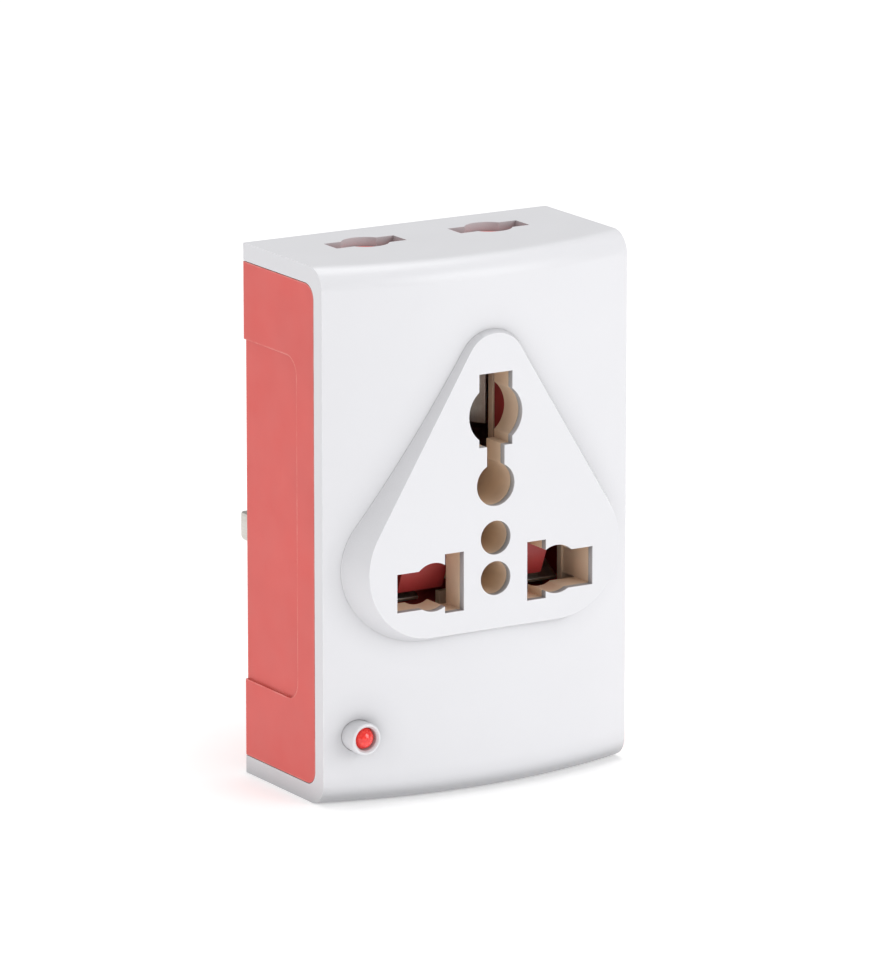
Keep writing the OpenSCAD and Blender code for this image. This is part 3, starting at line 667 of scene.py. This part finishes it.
# screws: each kind's sizes in millimetres; scale goes on the depths and slot sizes that both kinds share
screwShape = {"rise": 0.35, "edgeDrop": 0.25, "edgeStart": 0.85, "headEdge": 0.75, "slotHalf": 0.32,
              "slotReach": 1.35, "slotDepth": 0.7, "slope": 0.06, "endSlope": 0.1, "pitch": 0.9,
              "threadDepth": 0.24, "taper": 1.2, "fadeIn": 1.5, "fadeOut": 0.5, "columns": 96, "rows": 150}
screwKinds = {
    "case": {"head": 2.6, "shank": 1.17, "cross": True, "scale": 1.0,
             "spots": ((-11, 12), (11, 12), (-17.3, 62), (17.3, 62))},     # left and right, low and high
    "retainer": {"head": 1.4, "shank": 0.58, "cross": False, "scale": 0.55},
}


# head: the drop is rise (ring / radius)^2, more near the edge, plus the slots; shank: the radius less a
# triangle wave round a helix, which fades at both ends, and a taper to the point
def screwParts(x, z, face, end, kind):
    s, k = screwShape, screwKinds[kind]
    size, scale = k["head"], k["scale"]
    ring = np.concatenate([np.linspace(0, 0.75 * size, 46), np.linspace(0.8 * size, size, 7)])[:, None]
    angle = np.linspace(0, 2 * pi, s["columns"], endpoint=False)[None, :]
    across, up = ring * np.cos(angle), ring * np.sin(angle)
    rounded = np.clip((ring / size - s["edgeStart"]) / (1 - s["edgeStart"]), 0, 1) ** 3
    dome = s["rise"] * scale * (ring / size) ** 2 + s["edgeDrop"] * scale * rounded
    reach, half = s["slotReach"] * scale, s["slotHalf"] * scale

    # 1 within the limit, with a straight slope of twice the margin across it
    def inside(value, limit, margin):
        return np.clip((limit + margin - abs(value)) / (2 * margin), 0, 1)

    # one slot of the cross
    def slot(u, v):
        return inside(u, half, s["slope"]) * inside(v, reach, s["endSlope"])
    cut = np.maximum(slot(across, up), slot(up, across)) if k["cross"] else inside(up, half, s["slope"])
    head = ringPoints(ring, face - dome - s["slotDepth"] * scale * cut, angle, x, z)
    under = face - (s["rise"] + s["edgeDrop"] + s["headEdge"]) * scale
    along = np.linspace(under - 0.01, end, s["rows"])[:, None]
    wave = abs(((along / s["pitch"] + angle / (2 * pi)) % 1) * 2 - 1)
    fade = np.clip((along - end) / s["fadeIn"], 0, 1) * np.clip((under - s["fadeOut"] - along) / s["fadeOut"], 0, 1)
    radius = k["shank"] - s["threadDepth"] * scale * wave * fade
    radius = radius * (0.25 + 0.75 * np.clip((along - end) / s["taper"], 0, 1))
    skirt, tip = ringPoints(size, under, angle, x, z), ringPoints(0, end, angle, x, z)
    points = np.concatenate([head, skirt, ringPoints(radius, along, angle, x, z), tip])
    return points.reshape(-1, 3), gridQuads(len(points), s["columns"])


def caseScrews():
    end, face = nodeSpan("case_screws")[2:]
    parts = [screwParts(x * mm, z * mm, face, end, "case") for x, z in screwKinds["case"]["spots"]]
    settle(makePiece("caseScrews", *joinParts(parts), sharp=30), "screwZinc", "case_screws")


# one each side of the middle, as far out as the node's box less a head radius
def retainerScrews():
    z, end, face = nodeSpan("retainer_screws")[1:]
    x = (halfSizes("retainer_screws")[0] - screwKinds["retainer"]["head"]) * mm
    parts = [screwParts(side * x, z, face, end, "retainer") for side in (-1, 1)]
    settle(makePiece("retainerScrews", *joinParts(parts), sharp=30), "screwZinc", "retainer_screws")


caseScrews()
retainerScrews()
print("screws made")


# rivets that join the top clips to the line contacts: domed heads on a short stem
rivetShape = {"stem": 0.78, "head": 1.5, "rise": 0.6}


def rivetPieces():
    s = rivetShape
    z, start, stop = nodeSpan("strip_rivets")[1:]
    x = (halfSizes("strip_rivets")[0] - s["head"]) * mm
    bend = np.linspace(0, pi / 2, 9)
    front = [(s["head"] * sin(q), start + s["rise"] * (1 - cos(q))) for q in bend]
    back = [(s["head"] * cos(q), stop - s["rise"] + s["rise"] * sin(q)) for q in bend]
    profile = front + [(s["stem"], start + s["rise"]), (s["stem"], stop - s["rise"])] + back
    parts = [turned(profile, side * x, z, columns=40) for side in (-1, 1)]
    settle(makePiece("stripRivets", *joinParts(parts)), "stripBrass", "strip_rivets")


rivetPieces()
print("rivets made")


# resistor: a body that swells at both ends; bumpAt, bumpWidth and roundFrom are shares of its length
resistorShape = {"start": 14.2, "stop": 18.4, "middle": 0.9, "swell": 0.2, "lead": 0.25,
                 "bumpAt": 0.14, "bumpWidth": 0.11, "roundFrom": 0.08, "roundReach": 0.085}


# radius = (middle + swell times a bell curve near each end) times a quarter circle at each end
def resistorPiece():
    s = resistorShape
    x, z, first, last = nodeSpan("resistor")
    t = np.linspace(s["start"], s["stop"], 40)
    u = (t - s["start"]) / (s["stop"] - s["start"])
    nearEnd = np.minimum(u, 1 - u)
    bumps = sum(np.exp(-((u - at) / s["bumpWidth"]) ** 2) for at in (s["bumpAt"], 1 - s["bumpAt"]))
    quarter = np.clip((s["roundFrom"] - nearEnd) / s["roundReach"], 0, 1)
    radius = (s["middle"] + s["swell"] * bumps) * np.sqrt(np.clip(1 - quarter ** 2, 0.08, 1))
    profile = [(0, first), (s["lead"], first + 0.02), (s["lead"], s["start"])] + list(zip(radius, t))
    profile += [(s["lead"], s["stop"]), (s["lead"], last - 0.02), (0, last)]
    settle(makePiece("seriesResistor", *turned(profile, x, z, columns=40), sharp=45), "resistorPaint", "resistor")


resistorPiece()
print("resistor made")

# wires: a smooth curve through the points, each part a cubic whose ends lean along their neighbours
wires = {
    "liveWire": {"node": "live_wire", "finish": "sleevingBrown", "side": (0, 0, 1.0),
                 "points": ((0.7, 13.7, 0), (2.3, 15.6, 0.6), (6.5, 19.3, 10.4), (30.5, 19.78, 17.3))},
    "neutralWire": {"node": "neutral_wire", "finish": "sleevingBlue", "side": (1.0, 0, 0),
                    "points": ((-0.7, 19.5, 0), (-0.7, 21.0, 0), (4.5, 21.0, 10.4), (5.9, 19.75, 17.5))},
}


def wirePiece(name, radius=0.6):
    w = wires[name]
    spots = np.array(w["points"]) * mm + np.array([lampX, frontY, lampZ])
    spots = np.concatenate([spots[:1] * 2 - spots[1:2], spots, spots[-1:] * 2 - spots[-2:-1]])
    u = np.linspace(0, 1, 24, endpoint=False)[None, :, None]
    a, b, c, d = spots[:-3, None], spots[1:-2, None], spots[2:-1, None], spots[3:, None]
    curve = b + 0.5 * u * (c - a + u * (2 * a - 5 * b + 4 * c - d + u * (3 * (b - c) + d - a)))
    path = np.concatenate([curve.reshape(-1, 3), spots[-2:-1]])
    settle(makePiece(name, *tube(path, np.array(w["side"]), radius * mm), sharp=60), w["finish"], w["node"])


for name in wires:
    wirePiece(name)
print("wires made")
